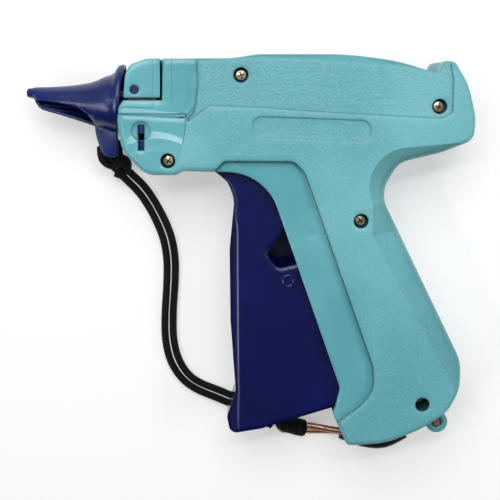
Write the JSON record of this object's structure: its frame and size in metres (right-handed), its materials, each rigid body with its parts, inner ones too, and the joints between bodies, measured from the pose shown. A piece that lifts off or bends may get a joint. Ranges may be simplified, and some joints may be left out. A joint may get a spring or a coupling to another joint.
{
  "type": "garment tag attacher",
  "caption": "Pistol-grip hand tool with a long squeezed trigger, a needle under a ribbed cap held by a cord, and a wire hanging hook.",
  "frame": {"origin": "middle of the footprint, on the face that lies down", "axes": "+X from the needle to the back of the handle, +Y to the top of the head, +Z to the side that faces up"},
  "size_m": [0.1607, 0.1499, 0.03],
  "materials": {
    "shell": "glossy moulded plastic, light teal, finely grained on the raised panels",
    "grip": "satin moulded plastic, dark navy",
    "inner_dark": "matte moulded plastic, near black",
    "steel": "bright drawn steel",
    "screw_metal": "brassy plated screw heads",
    "copper_wire": "copper coloured coated wire",
    "black_plastic": "soft black sleeve",
    "cord": "black braided cord"
  },
  "bodies": {
    "casing": {"casing_left": "shell", "casing_right": "shell", "front_cover": "shell", "tag_guide": "inner_dark", "guide_plate": "steel", "needle": "steel", "needle_base": "steel", "casing_screws": "screw_metal", "trigger_pivot_pin": "steel", "lever_pivot_pin": "steel", "wheel_axle": "steel", "stop_leaf": "steel", "return_spring": "steel", "cord_front_outer": "cord", "cord_front_inner": "cord", "cord_rear_outer": "cord", "cord_rear_inner": "cord"},
    "trigger_body": {"trigger": "grip", "link_pin": "steel"},
    "lever_body": {"drive_lever": "grip"},
    "slider_body": {"slider": "grip", "push_rod": "steel"},
    "wheel_body": {"feed_wheel": "inner_dark"},
    "pawl_body": {"feed_pawl": "inner_dark"},
    "lock_body": {"needle_lock": "grip"},
    "cap_body": {"needle_cap": "grip", "cord_knot": "cord"},
    "hook_body": {"hanging_hook": "copper_wire", "hook_sleeve": "black_plastic", "cord_hitch": "cord"}
  },
  "joints": [
    {"name": "trigger_squeeze", "type": "hinge", "parent": "casing", "child": "trigger_body", "pos_m": [-0.00432, 0.03808, 0.015], "axis": [0, 0, 1], "range_deg": [0, 17.7], "stiffness_Nm_per_rad": 0.6, "springref_deg": -11.46},
    {"name": "lever_swing", "type": "hinge", "parent": "casing", "child": "lever_body", "pos_m": [0.02274, 0.01139, 0.015], "axis": [0, 0, 1], "range_deg": [0, 43.4], "deforming": ["return_spring"]},
    {"name": "slider_slide", "type": "slide", "parent": "casing", "child": "slider_body", "axis": [-1, 0, 0], "range_m": [0, 0.0399]},
    {"name": "wheel_index", "type": "hinge", "parent": "casing", "child": "wheel_body", "pos_m": [-0.0237, 0.05187, 0.015], "axis": [0, 0, 1], "range_deg": [0, 30]},
    {"name": "pawl_rock", "type": "hinge", "parent": "casing", "child": "pawl_body", "pos_m": [-0.0131, 0.05513, 0.015], "axis": [0, 0, -1], "range_deg": [0, 6]},
    {"name": "lock_slide", "type": "slide", "parent": "casing", "child": "lock_body", "axis": [0, -1, 0], "range_m": [0, 0.002]},
    {"name": "cap_slide", "type": "slide", "parent": "casing", "child": "cap_body", "axis": [-1, 0, 0], "range_m": [0, 0.015]},
    {"name": "hook_swing", "type": "hinge", "parent": "casing", "child": "hook_body", "pos_m": [0.07116, -0.06089, 0.015], "axis": [0, 0, 1], "range_deg": [0, 15]}
  ],
  "couplings": [
    {"joint": "lever_swing", "follows": "trigger_squeeze", "ratio": 2.45},
    {"joint": "slider_slide", "follows": "trigger_squeeze", "m_per_rad": 0.1288},
    {"joint": "wheel_index", "follows": "trigger_squeeze", "ratio": 1.69},
    {"joint": "pawl_rock", "follows": "trigger_squeeze", "ratio": 0.33}
  ]
}
